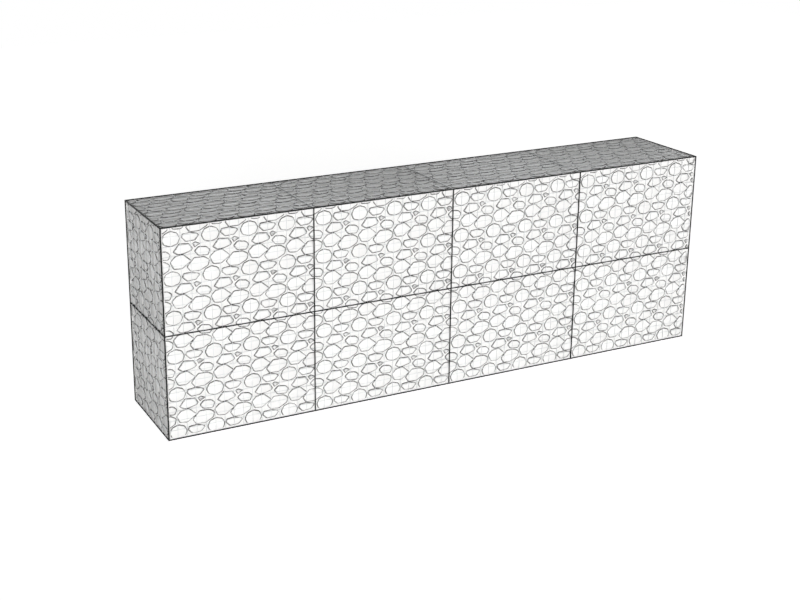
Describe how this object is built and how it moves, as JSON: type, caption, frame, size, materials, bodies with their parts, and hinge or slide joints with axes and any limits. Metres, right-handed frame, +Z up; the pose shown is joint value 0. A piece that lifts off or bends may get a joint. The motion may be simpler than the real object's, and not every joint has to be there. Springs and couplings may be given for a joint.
{
  "type": "gabion wall",
  "caption": "Straight free-standing wall of stacked welded-mesh baskets filled with stone, with straight rods along its outer edges.",
  "frame": {"origin": "middle of the footprint, on the ground", "axes": "+X along the wall, +Y from the front face to the back face, +Z up"},
  "size_m": [4.8, 0.825, 1.65],
  "materials": {
    "stone": "rough",
    "wire": "galvanised, satin",
    "rod": "black coating"
  },
  "bodies": {
    "root": {"back_level_rods": "rod", "base_panel1": "wire", "base_panel2": "wire", "course1_back_upright_rods": "rod", "course1_bay1_back_panel": "wire", "course1_bay1_front_panel": "wire", "course1_bay1_stone_fill": "stone", "course1_bay2_back_panel": "wire", "course1_bay2_front_panel": "wire", "course1_bay2_stone_fill": "stone", "course1_bay3_back_panel": "wire", "course1_bay3_front_panel": "wire", "course1_bay3_stone_fill": "stone", "course1_bay4_back_panel": "wire", "course1_bay4_front_panel": "wire", "course1_bay4_stone_fill": "stone", "course1_diaphragms": "wire", "course1_front_upright_rods": "rod", "course1_left_end_panel": "wire", "course1_right_end_panel": "wire", "course2_back_upright_rods": "rod", "course2_bay1_back_panel": "wire", "course2_bay1_front_panel": "wire", "course2_bay1_stone_fill": "stone", "course2_bay2_back_panel": "wire", "course2_bay2_front_panel": "wire", "course2_bay2_stone_fill": "stone", "course2_bay3_back_panel": "wire", "course2_bay3_front_panel": "wire", "course2_bay3_stone_fill": "stone", "course2_bay4_back_panel": "wire", "course2_bay4_front_panel": "wire", "course2_bay4_stone_fill": "stone", "course2_diaphragms": "wire", "course2_front_upright_rods": "rod", "course2_left_end_panel": "wire", "course2_right_end_panel": "wire", "course_joint1_panel1": "wire", "course_joint1_panel2": "wire", "front_level_rods": "rod", "left_end_rods": "rod", "lid_panel1": "wire", "lid_panel2": "wire", "right_end_rods": "rod"}
  },
  "joints": []
}
